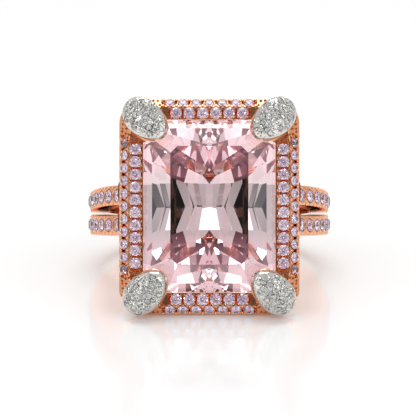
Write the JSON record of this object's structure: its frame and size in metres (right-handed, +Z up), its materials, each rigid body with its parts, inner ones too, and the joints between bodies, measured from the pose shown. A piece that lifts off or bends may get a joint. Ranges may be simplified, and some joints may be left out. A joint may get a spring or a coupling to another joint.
{
  "type": "cocktail ring",
  "caption": "Ring with a large cut-corner rectangular pink stone in a stone-set halo, domed petal prongs on its corners and a split shank set with small stones.",
  "frame": {"origin": "under the middle of the ring's outer box, on the surface that it rests on", "axes": "+Z up; the head faces -Y and looks up by the lay-back of about 16.7 degrees; +X to the right of someone facing the head; the finger hole's axis lies in the YZ plane and leans back from +Z by the same angle"},
  "size_m": [0.0208, 0.029, 0.0181],
  "materials": {
    "centre_stone": "polished facets, pale pink",
    "rose_gold": "polished rose gold",
    "white_gold": "polished white gold",
    "pink_melee": "small round brilliants, lilac pink",
    "white_melee": "small round brilliants, colourless"
  },
  "bodies": {
    "root": {"centre_stone": "centre_stone", "halo_frame": "rose_gold", "claw_upper_left": "rose_gold", "petal_upper_left": "white_gold", "claw_upper_right": "rose_gold", "petal_upper_right": "white_gold", "claw_lower_left": "rose_gold", "petal_lower_left": "white_gold", "claw_lower_right": "rose_gold", "petal_lower_right": "white_gold", "gallery_rail": "rose_gold", "base_rail": "rose_gold", "back_band": "rose_gold", "strand_left_upper": "rose_gold", "strand_left_lower": "rose_gold", "strand_right_upper": "rose_gold", "strand_right_lower": "rose_gold", "halo_stone_right_1": "pink_melee", "halo_stone_right_2": "pink_melee", "halo_stone_right_3": "pink_melee", "halo_stone_right_4": "pink_melee", "halo_stone_right_5": "pink_melee", "halo_stone_right_6": "pink_melee", "halo_stone_right_7": "pink_melee", "halo_stone_right_8": "pink_melee", "halo_stone_right_9": "pink_melee", "halo_stone_right_10": "pink_melee", "slope_stones_right": "pink_melee", "halo_stone_upper_1": "pink_melee", "halo_stone_upper_2": "pink_melee", "halo_stone_upper_3": "pink_melee", "halo_stone_upper_4": "pink_melee", "halo_stone_upper_5": "pink_melee", "halo_stone_upper_6": "pink_melee", "slope_stones_upper": "pink_melee", "halo_stone_left_1": "pink_melee", "halo_stone_left_2": "pink_melee", "halo_stone_left_3": "pink_melee", "halo_stone_left_4": "pink_melee", "halo_stone_left_5": "pink_melee", "halo_stone_left_6": "pink_melee", "halo_stone_left_7": "pink_melee", "halo_stone_left_8": "pink_melee", "halo_stone_left_9": "pink_melee", "halo_stone_left_10": "pink_melee", "slope_stones_left": "pink_melee", "halo_stone_lower_1": "pink_melee", "halo_stone_lower_2": "pink_melee", "halo_stone_lower_3": "pink_melee", "halo_stone_lower_4": "pink_melee", "halo_stone_lower_5": "pink_melee", "halo_stone_lower_6": "pink_melee", "slope_stones_lower": "pink_melee", "strand_stones_left_upper": "pink_melee", "strand_stones_left_lower": "pink_melee", "strand_stones_right_upper": "pink_melee", "strand_stones_right_lower": "pink_melee"}
  },
  "joints": []
}
